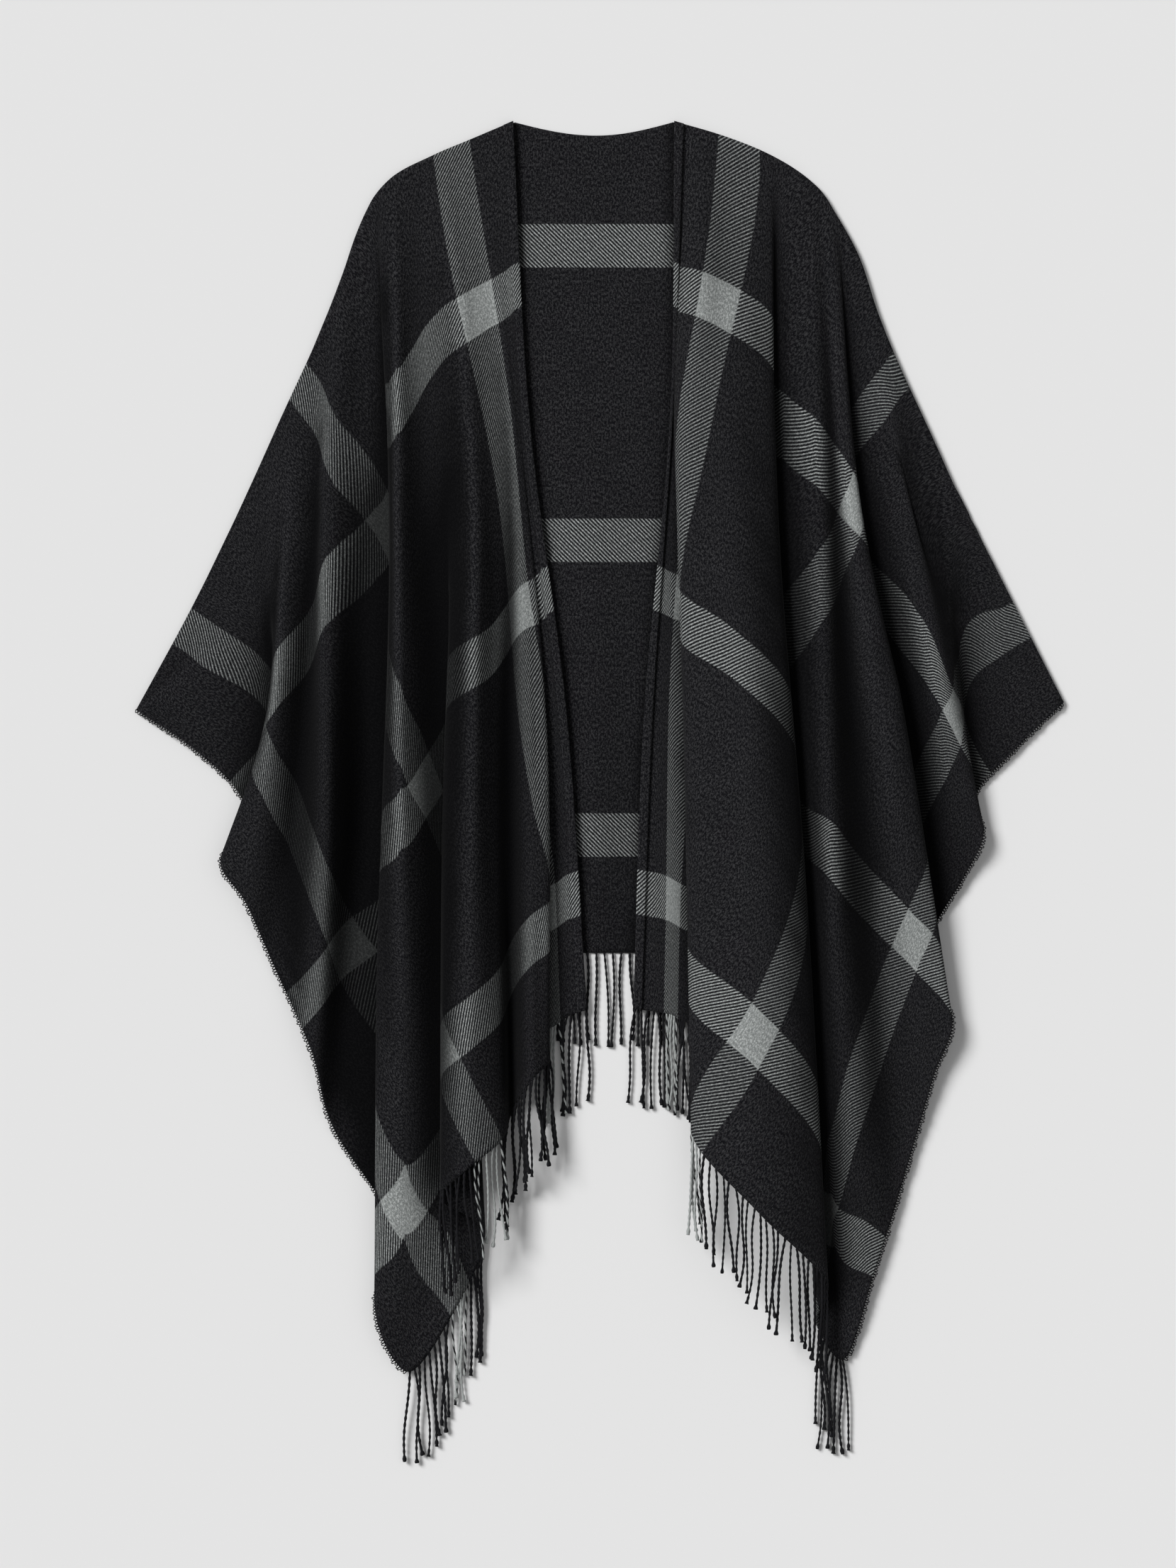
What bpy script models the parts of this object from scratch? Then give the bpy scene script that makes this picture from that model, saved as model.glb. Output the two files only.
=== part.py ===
"""Serape: an open-fronted wool wrap laid flat on its back.

One woven cloth, slit up the middle of the front, lies on a floor at z = 0 with
its neck towards +Y.  The back is flat on the floor.  The two fronts lie on it
in deep lengthwise folds, and fan out to the sides as soft sleeves.

Every front is described on the flat cloth first.  u runs outwards from the
centre line and v runs down from the shoulder line, both in centimetres.  A fold
is a line on that flat cloth, and its row says where the line ends up when the
cloth is laid down.  The cloth between two folds is lofted.
"""

import math

import bmesh
import bpy
import numpy as np

CM = 0.01

# Cut of the cloth, in centimetres on the flat cloth
NECK_HALF = 7.5
FRONT_LENGTH = 79.75

# Thicknesses, clearances and small widths, in centimetres
CLOTH_THICK = 0.20
SEAM_GAP = 0.03
HEM_THICK = 0.14
HEM_GAP = 0.08
NECK_SCOOP = 1.25
NECK_TO_ORIGIN = 61.337
CENTRE_SHIFT = -0.372

# Resolution of the lofts
ROWS = 20
STEPS_PER_FOLD = 2
BACK_COLUMNS = 36
BACK_ROWS = 10
MERGE_ON_FLAT_CLOTH = 0.6

# Fringe, in centimetres
STRAND_PITCH = 1.55
STRAND_WIDTH = 0.50
STRAND_DEPTH = 0.20
STRAND_LENGTH = 8.6
STRAND_STEPS = 3
STRIP_HEIGHT = 0.35
BACK_STRIP_GAP = 0.03
STRAND_TAPER = 0.25
STRAND_SWAY = 0.15
TIP_LIFT = 0.15
BACK_STRAND_HEIGHT = 0.115

# Stretches of each front's lower edge whose strands show: first and last u,
# its distance below the hem, and the share of the hem's height left at the tips
FRINGE_COLUMNS = ("start", "end", "gap", "tip_share")
FRINGES = {
    "left": ((7.5, 15.0, 0.05, 0.45), (22.0, 33.0, 0.12, 0.75), (36.5, 51.0, 0.12, 0.80),
             (63.0, 77.5, 0.12, 0.45)),
    "right": ((7.5, 20.0, 0.05, 0.45), (41.0, 60.0, 0.12, 0.85), (72.0, 77.5, 0.12, 0.45)),
}

# Shoulder line of each front: u on the cloth, distance out from the centre
# line, distance down from the neck
SHOULDER_COLUMNS = ("u", "out", "down")
SHOULDER = {
    "left": (
        (7.5, 7.6, 0.0),
        (11.65, 11.6, 1.7),
        (15.65, 14.9, 3.1),
        (20.2, 18.9, 5.3),
        (22.1, 20.2, 6.7),
        (24.0, 21.1, 8.3),
        (26.8, 22.2, 10.9),
        (30.9, 23.5, 14.8),
        (38.95, 26.6, 22.3),
        (42.95, 28.1, 25.5),
        (53.0, 31.9, 33.9),
        (65.6, 36.8, 44.1),
        (77.5, 42.1, 53.9),
    ),
    "right": (
        (7.5, 7.15, 0.0),
        (11.65, 11.2, 1.2),
        (15.65, 14.95, 2.6),
        (20.1, 18.8, 4.8),
        (22.7, 20.7, 6.5),
        (25.2, 22.0, 8.6),
        (27.6, 23.3, 10.7),
        (30.4, 24.4, 13.2),
        (38.95, 27.1, 21.3),
        (42.95, 28.7, 24.4),
        (55.8, 33.7, 35.3),
        (66.25, 38.2, 44.1),
        (77.5, 42.8, 53.2),
    ),
}

# Lower edge of each front: u on the cloth, distance down from the neck
HEM_COLUMNS = ("u", "down")
HEM_FALL = {
    "left": ((7.5, 81.4), (24.0, 86.0), (38.9, 93.1), (49.0, 98.0),
             (64.5, 104.5), (71.3, 110.4), (77.5, 114.5)),
    "right": ((7.5, 81.3), (18.5, 82.6), (40.5, 92.6), (50.0, 99.5),
              (60.0, 106.0), (75.5, 112.5), (77.5, 113.4)),
}

# How far the sleeve side is drawn up between shoulder and hem, by u
LIFT_COLUMNS = ("u", "lift")
SLEEVE_LIFT = {
    "left": ((7.5, 0.0), (13.0, 0.0), (20.0, -1.8), (28.0, -1.2), (38.0, 0.0), (50.0, 0.0),
             (57.0, 1.0), (64.0, 2.0), (68.0, 3.0), (77.5, 4.6)),
    "right": ((7.5, 0.0), (13.0, 0.0), (19.0, -1.5), (27.0, -1.8), (34.0, -0.6), (42.0, 0.6),
              (50.0, 2.9), (55.0, 4.6), (77.5, 4.6)),
}

# Folds of each front, from the front edge outwards.
# u_top: where the fold leaves the shoulder.  u_foot, v_foot: where it ends, on
# the hem or on the side edge.  bend: above 1, it keeps to the front edge first.
# out_1, out_2, out_foot: distance out from the centre line at one third, two
# thirds and the end of the fold.  z_mid, z_foot: its height half way and at
# its end.
FOLD_COLUMNS = ("name", "u_top", "u_foot", "v_foot", "bend",
                "out_1", "out_2", "out_foot", "z_mid", "z_foot")
FOLDS = {
    "left": (
        ("front edge", 7.5, 7.5, 79.75, 1.0, 6.1, 2.7, 0.85, 0.40, 0.40),
        ("hem seam", 8.4, 8.4, 79.75, 1.0, 6.7, 3.4, 1.7, 0.42, 0.42),
        ("strip", 9.0, 13.0, 79.75, 3.0, 6.85, 3.9, 3.7, 0.45, 0.50),
        ("tuck under third ridge", 9.5, 18.5, 79.75, 4.0, 6.95, 5.1, 5.6, 0.50, 0.60),
        ("third ridge, inner edge", 10.2, 24.0, 79.75, 5.0, 7.15, 4.6, 4.3, 0.70, 1.90),
        ("third ridge", 11.0, 27.5, 79.75, 4.2, 7.4, 5.9, 5.7, 1.00, 3.00),
        ("second valley", 12.5, 35.0, 79.75, 2.5, 8.7, 8.4, 7.9, 0.60, 0.70),
        ("second ridge, inner edge", 13.7, 38.9, 79.75, 2.2, 9.9, 9.6, 8.6, 1.60, 2.40),
        ("second ridge", 15.0, 44.0, 79.75, 2.2, 11.1, 11.2, 11.6, 3.20, 4.00),
        ("second ridge, outer edge", 16.3, 49.0, 79.75, 2.2, 12.5, 13.5, 14.1, 2.00, 2.60),
        ("tuck under second ridge", 17.2, 60.0, 79.75, 1.65, 14.2, 11.8, 10.2, 0.80, 0.80),
        ("first ridge, inner side", 18.6, 69.0, 79.75, 1.25, 16.6, 14.7, 12.7, 2.20, 0.60),
        ("first ridge", 19.8, 77.5, 79.75, 1.25, 17.9, 17.6, 17.4, 4.60, 0.80),
        ("first ridge, outer edge", 20.8, 77.5, 72.4, 1.27, 18.7, 19.8, 20.2, 3.00, 1.60),
        ("tuck under first ridge", 22.3, 77.5, 66.7, 0.81, 17.6, 17.0, 17.3, 0.70, 0.60),
        ("valley beside first ridge", 24.0, 77.5, 61.0, 0.71, 19.9, 20.0, 20.5, 0.60, 0.50),
        ("outer valley", 26.0, 77.5, 55.0, 0.73, 21.6, 22.5, 24.0, 0.50, 0.50),
        ("outer ridge", 30.0, 77.5, 47.0, 0.80, 24.2, 24.5, 25.8, 3.00, 2.00),
        ("sleeve valley", 37.0, 77.5, 36.0, 0.80, 26.3, 27.4, 29.8, 1.00, 0.70),
        ("sleeve ridge", 42.0, 77.5, 29.0, 0.88, 28.5, 29.6, 32.1, 2.40, 1.50),
        ("sleeve ridge, outer edge", 45.0, 77.5, 23.7, 1.0, 29.2, 30.2, 34.3, 1.50, 1.60),
        ("tuck under sleeve ridge", 48.0, 77.5, 19.5, 1.0, 30.1, 29.2, 31.8, 0.70, 0.60),
        ("sleeve, inner", 52.0, 77.5, 14.5, 1.0, 31.4, 30.1, 32.7, 0.60, 0.50),
        ("sleeve, middle", 66.0, 77.5, 7.0, 1.0, 36.8, 37.4, 37.2, 0.80, 0.50),
        ("cuff", 77.4, 77.5, 0.3, 1.0, 42.1, 42.1, 42.1, 0.40, 0.40),
    ),
    "right": (
        ("front edge", 7.5, 7.5, 79.75, 1.0, 6.8, 4.4, 3.4, 0.40, 0.40),
        ("hem seam", 8.4, 8.4, 79.75, 1.0, 7.0, 5.2, 4.2, 0.42, 0.42),
        ("strip", 8.8, 18.5, 79.75, 2.3, 7.1, 7.0, 8.4, 0.45, 0.50),
        ("tuck under first ridge", 9.0, 29.0, 79.75, 2.3, 7.2, 9.4, 12.6, 0.60, 0.70),
        ("first ridge, inner edge", 9.3, 40.5, 79.75, 2.4, 7.4, 8.1, 8.7, 2.20, 2.60),
        ("first ridge", 13.0, 50.0, 79.75, 2.1, 10.9, 13.3, 14.6, 4.60, 4.20),
        ("first ridge, outer edge", 16.5, 60.0, 79.75, 1.5, 16.4, 18.8, 20.9, 3.20, 2.20),
        ("first valley", 17.5, 70.0, 79.75, 1.19, 15.7, 18.7, 20.2, 0.60, 0.60),
        ("second ridge, inner side", 18.7, 77.5, 79.75, 0.93, 17.2, 20.1, 22.7, 1.60, 0.50),
        ("second ridge", 21.0, 77.5, 71.0, 0.93, 20.4, 21.8, 25.4, 3.60, 0.90),
        ("second valley", 22.5, 77.5, 59.0, 0.95, 22.4, 24.8, 28.7, 1.80, 0.70),
        ("third ridge", 23.5, 77.5, 50.5, 1.0, 23.3, 27.0, 30.8, 3.40, 1.20),
        ("third ridge, outer edge", 24.5, 77.5, 43.4, 1.0, 24.2, 28.7, 32.4, 2.60, 1.60),
        ("tuck under third ridge", 26.0, 77.5, 38.8, 0.88, 23.3, 27.4, 29.8, 0.70, 0.60),
        ("outer valley", 29.0, 77.5, 32.8, 0.80, 24.8, 28.9, 31.2, 0.80, 0.60),
        ("sleeve ridge", 35.0, 77.5, 27.0, 0.80, 28.2, 31.0, 33.7, 2.40, 0.80),
        ("sleeve ridge, outer edge", 50.0, 77.5, 21.3, 0.77, 32.0, 33.4, 35.4, 1.60, 1.40),
        ("sleeve, inner", 53.0, 77.5, 17.0, 1.0, 32.6, 33.5, 34.6, 0.80, 0.60),
        ("sleeve, middle", 65.0, 77.5, 8.5, 1.0, 37.2, 37.1, 38.6, 0.80, 0.50),
        ("cuff", 77.4, 77.5, 0.3, 1.0, 42.8, 42.8, 42.8, 0.40, 0.40),
    ),
}
SHOULDER_HEIGHT = 0.40
EARLY_RISE = 0.44
LOWEST_FRONT = CLOTH_THICK + SEAM_GAP + CLOTH_THICK / 2
LIFT_SKEW = 0.8
SIDES = {"left": -1.0, "right": 1.0}

# Lower outline of the back, from its side to its hem: a row for each corner
BACK_HEM_HALF = {"left": 12.0, "right": 14.0}
BACK_HEM_DOWN = 76.2
BACK_SIDE_INSET = 0.6

WOOL = (0.040, 0.040, 0.046, 1.0)
YARN = (0.055, 0.055, 0.060, 1.0)


def smooth(x, knots, values):
    """Cubic curve through the knots, with slopes from its neighbours."""
    knots = np.asarray(knots, float)
    values = np.asarray(values, float)
    slopes = np.gradient(values, knots)
    x = np.clip(x, knots[0], knots[-1])
    k = np.clip(np.searchsorted(knots, x, side="right") - 1, 0, len(knots) - 2)
    span = knots[k + 1] - knots[k]
    t = (x - knots[k]) / span
    rise = values[k] * (2 * t**3 - 3 * t**2 + 1) + values[k + 1] * (3 * t**2 - 2 * t**3)
    lean = slopes[k] * (t**3 - 2 * t**2 + t) + slopes[k + 1] * (t**3 - t**2)
    return rise + span * lean


def table(rows, columns, name):
    return [row[columns.index(name)] for row in rows]


def fall(side, u, v):
    """Distance down from the neck of the point u, v of one front."""
    shoulder = SHOULDER[side]
    hem = HEM_FALL[side]
    lift = SLEEVE_LIFT[side]
    start = smooth(u, table(shoulder, SHOULDER_COLUMNS, "u"),
                   table(shoulder, SHOULDER_COLUMNS, "down"))
    end = smooth(u, table(hem, HEM_COLUMNS, "u"), table(hem, HEM_COLUMNS, "down"))
    drawn_up = np.interp(u, table(lift, LIFT_COLUMNS, "u"), table(lift, LIFT_COLUMNS, "lift"))
    share = v / FRONT_LENGTH
    return start + (end - start) * share - drawn_up * np.sin(math.pi * share**LIFT_SKEW)


def fold_line(side, fold, rows):
    """Flat and laid positions along one fold, from the shoulder to its end."""
    row = dict(zip(FOLD_COLUMNS, fold))
    shoulder = SHOULDER[side]
    s = np.linspace(0.0, 1.0, rows + 1)
    u = row["u_top"] + (row["u_foot"] - row["u_top"]) * s ** row["bend"]
    v = row["v_foot"] * s
    out_top = smooth(row["u_top"], table(shoulder, SHOULDER_COLUMNS, "u"),
                     table(shoulder, SHOULDER_COLUMNS, "out"))
    out = smooth(s, (0, 1 / 3, 2 / 3, 1), (out_top, row["out_1"], row["out_2"], row["out_foot"]))
    z_early = SHOULDER_HEIGHT + (row["z_mid"] - SHOULDER_HEIGHT) * EARLY_RISE
    z = smooth(s, (0, 0.25, 0.5, 1), (SHOULDER_HEIGHT, z_early, row["z_mid"], row["z_foot"]))
    flat = np.column_stack((u, v))
    laid = np.column_stack((out, -fall(side, u, v), z))
    return flat, laid


def front_grid(side, rows, steps):
    """Flat and laid points of a front, a column for each fold and step between."""
    lines = [fold_line(side, fold, rows) for fold in FOLDS[side]]
    flat = np.array([line[0] for line in lines])
    laid = np.array([line[1] for line in lines])
    gaps = np.linalg.norm(np.diff(flat, axis=0), axis=2)[..., None]
    gaps = np.maximum(gaps, 0.05)
    rates = np.diff(laid, axis=0) / gaps
    lean = np.empty_like(laid)
    lean[0] = rates[0]
    lean[-1] = rates[-1]
    lean[1:-1] = (rates[:-1] * gaps[1:] + rates[1:] * gaps[:-1]) / (gaps[1:] + gaps[:-1])
    flat_columns = []
    laid_columns = []
    for k in range(len(lines) - 1):
        for step in range(steps):
            t = step / steps
            flat_columns.append(flat[k] * (1 - t) + flat[k + 1] * t)
            point = laid[k] * (2 * t**3 - 3 * t**2 + 1) + laid[k + 1] * (3 * t**2 - 2 * t**3)
            point = point + gaps[k] * (lean[k] * (t**3 - 2 * t**2 + t) + lean[k + 1] * (t**3 - t**2))
            laid_columns.append(point)
    flat_columns.append(flat[-1])
    laid_columns.append(laid[-1])
    flat = np.array(flat_columns)
    laid = np.array(laid_columns)
    laid[..., 2] = np.maximum(laid[..., 2], LOWEST_FRONT)
    return flat, laid


def to_world(side, laid):
    """Side-neutral centimetres to metres in the part's frame."""
    world = np.array(laid, float)
    world[..., 0] = world[..., 0] * SIDES[side] + CENTRE_SHIFT
    world[..., 1] = world[..., 1] + NECK_TO_ORIGIN
    return world * CM


def wool_material(name, colour):
    material = bpy.data.materials.new(name)
    material.use_nodes = True
    shader = material.node_tree.nodes["Principled BSDF"]
    shader.inputs["Base Color"].default_value = colour
    shader.inputs["Roughness"].default_value = 0.9
    shader.inputs["Metallic"].default_value = 0.0
    return material


def add_object(name, mesh, collection, material):
    mesh.materials.append(material)
    piece = bpy.data.objects.new(name, mesh)
    collection.objects.link(piece)
    return piece


def thicken(piece, thickness):
    solid = piece.modifiers.new("thickness", "SOLIDIFY")
    solid.thickness = thickness * CM
    solid.offset = 0.0
    solid.use_even_offset = False
    return solid


def grid_mesh(name, flat, world, merge):
    """Sheet over a grid of points; points that crowd on the flat cloth are one."""
    columns, rows = flat.shape[:2]
    sheet = bmesh.new()
    height = sheet.verts.layers.float_vector.new("laid")
    points = []
    for i in range(columns):
        for j in range(rows):
            vertex = sheet.verts.new((flat[i, j, 0], flat[i, j, 1], 0.0))
            vertex[height] = world[i, j]
            points.append(vertex)
    for i in range(columns - 1):
        for j in range(rows - 1):
            corner = i * rows + j
            sheet.faces.new((points[corner], points[corner + 1],
                             points[corner + rows + 1], points[corner + rows]))
    bmesh.ops.remove_doubles(sheet, verts=sheet.verts, dist=merge)
    for vertex in sheet.verts:
        vertex.co = vertex[height]
    bmesh.ops.triangulate(sheet, faces=sheet.faces)
    bmesh.ops.recalc_face_normals(sheet, faces=sheet.faces)
    mesh = bpy.data.meshes.new(name)
    sheet.to_mesh(mesh)
    sheet.free()
    mesh.shade_smooth()
    return mesh


def make_front(side, collection, material):
    flat, laid = front_grid(side, ROWS, STEPS_PER_FOLD)
    mesh = grid_mesh("front_" + side, flat, to_world(side, laid), MERGE_ON_FLAT_CLOTH)
    piece = add_object("front_" + side, mesh, collection, material)
    thicken(piece, CLOTH_THICK)
    return piece


def make_front_hem(side, collection, material):
    """Narrow turned hem on the front, from the front's own points moved out."""
    flat, laid = front_grid(side, ROWS, STEPS_PER_FOLD)
    columns = STEPS_PER_FOLD + 1
    across = np.gradient(laid[:columns], axis=0)
    along = np.gradient(laid[:columns], axis=1)
    normal = np.cross(along, across)
    normal = normal / np.linalg.norm(normal, axis=2)[..., None]
    hem = laid[:columns] + normal * (CLOTH_THICK / 2 + HEM_GAP + HEM_THICK / 2)
    mesh = grid_mesh("hem_" + side, flat[:columns], to_world(side, hem), 0.0)
    piece = add_object("hem_" + side, mesh, collection, material)
    thicken(piece, HEM_THICK)
    return piece


def back_half_outline(side):
    """Rows of the back: distance out of its side edge, and how far down."""
    shoulder = SHOULDER[side]
    out = table(shoulder, SHOULDER_COLUMNS, "out")
    down = table(shoulder, SHOULDER_COLUMNS, "down")
    return out, down


def back_top(out, side):
    """Distance down of the back's upper edge: shoulder line and neck scoop."""
    shoulder_out, shoulder_down = back_half_outline(side)
    edge = np.interp(out, shoulder_out, shoulder_down)
    neck = NECK_SCOOP * np.cos(np.clip(out / shoulder_out[0], 0, 1) * math.pi / 2)
    return np.where(out < shoulder_out[0], neck, edge) + SEAM_GAP


def back_bottom(out, side):
    """Distance down of the back's lower edge: flat hem, then up to the cuff."""
    cuff_out = table(SHOULDER[side], SHOULDER_COLUMNS, "out")[-1] - BACK_SIDE_INSET
    cuff_down = table(SHOULDER[side], SHOULDER_COLUMNS, "down")[-1]
    hem_half = BACK_HEM_HALF[side]
    share = np.clip((out - hem_half) / (cuff_out - hem_half), 0, 1)
    return BACK_HEM_DOWN + (cuff_down - BACK_HEM_DOWN) * share


def make_back(collection, material):
    """Back of the cloth, flat on the floor under both fronts."""
    columns = []
    for side in ("left", "right"):
        cuff = table(SHOULDER[side], SHOULDER_COLUMNS, "out")[-1] - BACK_SIDE_INSET
        spread = np.linspace(0.0, 1.0, BACK_COLUMNS // 2 + 1)
        out = cuff * spread
        top = back_top(out, side)
        bottom = np.maximum(back_bottom(out, side), top + 0.2)
        rows = np.linspace(0.0, 1.0, BACK_ROWS + 1)
        down = top[:, None] * (1 - rows) + bottom[:, None] * rows
        half = np.dstack((np.repeat(out[:, None], BACK_ROWS + 1, 1), -down,
                          np.full_like(down, CLOTH_THICK / 2)))
        world = to_world(side, half)
        columns.append(world[::-1] if side == "left" else world[1:])
    world = np.concatenate(columns)
    mesh = grid_mesh("back", world[..., :2] / CM, world, 0.0)
    piece = add_object("back", mesh, collection, material)
    thicken(piece, CLOTH_THICK)
    return piece


def fringe_mesh(name, roots, tips):
    """Narrow strip below a hem with its strands, as one closed body.

    roots holds the two hem points that each strand hangs between, tips the end
    of each strand.  The strip is closed below between the strands, and each
    strand grows out of the strip's own lower edge.
    """
    body = bmesh.new()
    rings = []
    for j in range(len(roots)):
        ahead = roots[min(j + 1, len(roots) - 1)] - roots[max(j - 1, 0)]
        down = np.array((0.0, -1.0, 0.0))
        thick = np.cross(ahead, down)
        thick = thick / np.linalg.norm(thick) * (STRAND_DEPTH * CM / 2)
        top = roots[j]
        low = top + down * STRIP_HEIGHT * CM
        rings.append([body.verts.new(p) for p in (low + thick, top + thick, top - thick, low - thick)])
    for j in range(len(rings) - 1):
        a = rings[j]
        b = rings[j + 1]
        body.faces.new((a[0], b[0], b[1], a[1]))
        body.faces.new((a[1], b[1], b[2], a[2]))
        body.faces.new((a[2], b[2], b[3], a[3]))
        if j % 2:
            body.faces.new((a[3], b[3], b[0], a[0]))
            continue
        add_strand(body, (a[3], b[3], b[0], a[0]), tips[j // 2], j // 2)
    body.faces.new(rings[0])
    body.faces.new(rings[-1][::-1])
    bmesh.ops.triangulate(body, faces=body.faces)
    if body.calc_volume(signed=True) < 0:
        bmesh.ops.reverse_faces(body, faces=body.faces)
    mesh = bpy.data.meshes.new(name)
    body.to_mesh(mesh)
    body.free()
    return mesh


def add_strand(body, root, tip, number):
    """Tapering four-sided strand from four corners of the strip to its tip."""
    centre = sum((np.array(vertex.co) for vertex in root), np.zeros(3)) / 4
    turn = 1 if number % 2 else -1
    previous = root
    for step in range(1, STRAND_STEPS + 1):
        t = step / STRAND_STEPS
        middle = centre * (1 - t) + tip * t
        middle[0] += math.sin(t * math.pi) * STRAND_SWAY * CM * turn
        ring = []
        for vertex in root:
            offset = np.array(vertex.co) - centre
            ring.append(body.verts.new(middle + offset * (1 - STRAND_TAPER * t)))
        for side in range(4):
            after = (side + 1) % 4
            body.faces.new((previous[side], previous[after], ring[after], ring[side]))
        previous = ring
    body.faces.new(previous)


def hem_points(side, u):
    """Laid points of a front's lower edge at the given u."""
    flat, laid = front_grid(side, ROWS, STEPS_PER_FOLD)
    at_hem = flat[:, -1, 1] > FRONT_LENGTH - 0.01
    hem_u = flat[at_hem, -1, 0]
    hem_laid = laid[at_hem, -1]
    return np.column_stack([np.interp(u, hem_u, hem_laid[:, axis]) for axis in range(3)])


def make_front_fringe(side, collection, material):
    """A strip with strands for each stretch of the lower edge that shows."""
    pieces = []
    for number, values in enumerate(FRINGES[side]):
        row = dict(zip(FRINGE_COLUMNS, values))
        start = row["start"]
        end = row["end"]
        count = int((end - start) / STRAND_PITCH)
        first = start + (end - start - count * STRAND_PITCH + STRAND_PITCH - STRAND_WIDTH) / 2
        edges = []
        for strand in range(count):
            edges.append(first + strand * STRAND_PITCH)
            edges.append(first + strand * STRAND_PITCH + STRAND_WIDTH)
        roots = hem_points(side, np.array(edges))
        roots[:, 1] -= row["gap"]
        tips = (roots[0::2] + roots[1::2]) / 2
        tips[:, 1] -= STRAND_LENGTH
        tips[:, 2] = tips[:, 2] * row["tip_share"] + TIP_LIFT
        name = "fringe_" + side + "_" + str(number + 1)
        mesh = fringe_mesh(name, to_world(side, roots), to_world(side, tips))
        pieces.append(add_object(name, mesh, collection, material))
    return pieces


def make_back_fringe(collection, material):
    """Strip with strands along the back's lower edge."""
    start = -BACK_HEM_HALF["left"]
    count = int((BACK_HEM_HALF["right"] - start) / STRAND_PITCH)
    first = start + STRAND_PITCH / 2
    edges = []
    for strand in range(count):
        edges.append(first + strand * STRAND_PITCH)
        edges.append(first + strand * STRAND_PITCH + STRAND_WIDTH)
    roots = np.array([(out, -BACK_HEM_DOWN - BACK_STRIP_GAP, BACK_STRAND_HEIGHT) for out in edges])
    tips = (roots[0::2] + roots[1::2]) / 2
    tips[:, 1] -= STRAND_LENGTH
    mesh = fringe_mesh("fringe_back", to_world("right", roots), to_world("right", tips))
    return add_object("fringe_back", mesh, collection, material)


scene_objects = list(bpy.data.objects)
for existing in scene_objects:
    bpy.data.objects.remove(existing, do_unlink=True)

serape = bpy.data.collections.new("serape")
bpy.context.scene.collection.children.link(serape)

make_back(serape, wool_material("back wool", WOOL))
for side_name in SIDES:
    make_front(side_name, serape, wool_material("front wool " + side_name, WOOL))
    make_front_hem(side_name, serape, wool_material("hem wool " + side_name, WOOL))
    make_front_fringe(side_name, serape, wool_material("yarn " + side_name, YARN))
make_back_fringe(serape, wool_material("back yarn", YARN))
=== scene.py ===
"""Looks of the serape: the folded cloth, its weave, its hems and its fringe."""

import math

import bpy
import numpy as np
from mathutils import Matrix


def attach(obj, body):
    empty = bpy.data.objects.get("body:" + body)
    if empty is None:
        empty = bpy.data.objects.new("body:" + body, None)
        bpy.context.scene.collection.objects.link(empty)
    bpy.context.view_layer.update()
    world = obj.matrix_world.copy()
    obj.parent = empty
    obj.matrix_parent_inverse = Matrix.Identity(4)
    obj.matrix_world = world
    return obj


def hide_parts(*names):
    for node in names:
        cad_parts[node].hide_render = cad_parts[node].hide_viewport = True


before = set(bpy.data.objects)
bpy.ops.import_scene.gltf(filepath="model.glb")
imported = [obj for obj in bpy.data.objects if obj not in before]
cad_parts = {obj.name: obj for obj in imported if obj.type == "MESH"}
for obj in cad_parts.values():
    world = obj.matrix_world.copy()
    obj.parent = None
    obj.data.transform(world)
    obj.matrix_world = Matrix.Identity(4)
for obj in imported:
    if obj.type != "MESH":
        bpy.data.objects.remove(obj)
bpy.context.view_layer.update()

CM = 0.01

# Cut of the cloth, in centimetres on the flat cloth
FRONT_LENGTH = 79.75
CLOTH_HALF = 77.5

# Thicknesses, clearances and small widths, in centimetres
CLOTH_THICK = 0.20
SEAM_GAP = 0.03
HEM_THICK = 0.14
HEM_GAP = 0.08
NECK_SCOOP = 1.25
NECK_TO_ORIGIN = 61.337
CENTRE_SHIFT = -0.372

# Shoulder line of each front: u on the cloth, distance out from the centre
# line, distance down from the neck
SHOULDER_COLUMNS = ("u", "out", "down")
SHOULDER = {
    "left": (
        (7.5, 7.6, 0.0),
        (11.65, 11.6, 1.7),
        (15.65, 14.9, 3.1),
        (20.2, 18.9, 5.3),
        (22.1, 20.2, 6.7),
        (24.0, 21.1, 8.3),
        (26.8, 22.2, 10.9),
        (30.9, 23.5, 14.8),
        (38.95, 26.6, 22.3),
        (42.95, 28.1, 25.5),
        (53.0, 31.9, 33.9),
        (65.6, 36.8, 44.1),
        (77.5, 42.1, 53.9),
    ),
    "right": (
        (7.5, 7.15, 0.0),
        (11.65, 11.2, 1.2),
        (15.65, 14.95, 2.6),
        (20.1, 18.8, 4.8),
        (22.7, 20.7, 6.5),
        (25.2, 22.0, 8.6),
        (27.6, 23.3, 10.7),
        (30.4, 24.4, 13.2),
        (38.95, 27.1, 21.3),
        (42.95, 28.7, 24.4),
        (55.8, 33.7, 35.3),
        (66.25, 38.2, 44.1),
        (77.5, 42.8, 53.2),
    ),
}

# Lower edge of each front: u on the cloth, distance down from the neck
HEM_COLUMNS = ("u", "down")
HEM_FALL = {
    "left": ((7.5, 81.4), (24.0, 86.0), (38.9, 93.1), (49.0, 98.0),
             (64.5, 104.5), (71.3, 110.4), (77.5, 114.5)),
    "right": ((7.5, 81.3), (18.5, 82.6), (40.5, 92.6), (50.0, 99.5),
              (60.0, 106.0), (75.5, 112.5), (77.5, 113.4)),
}

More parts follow.
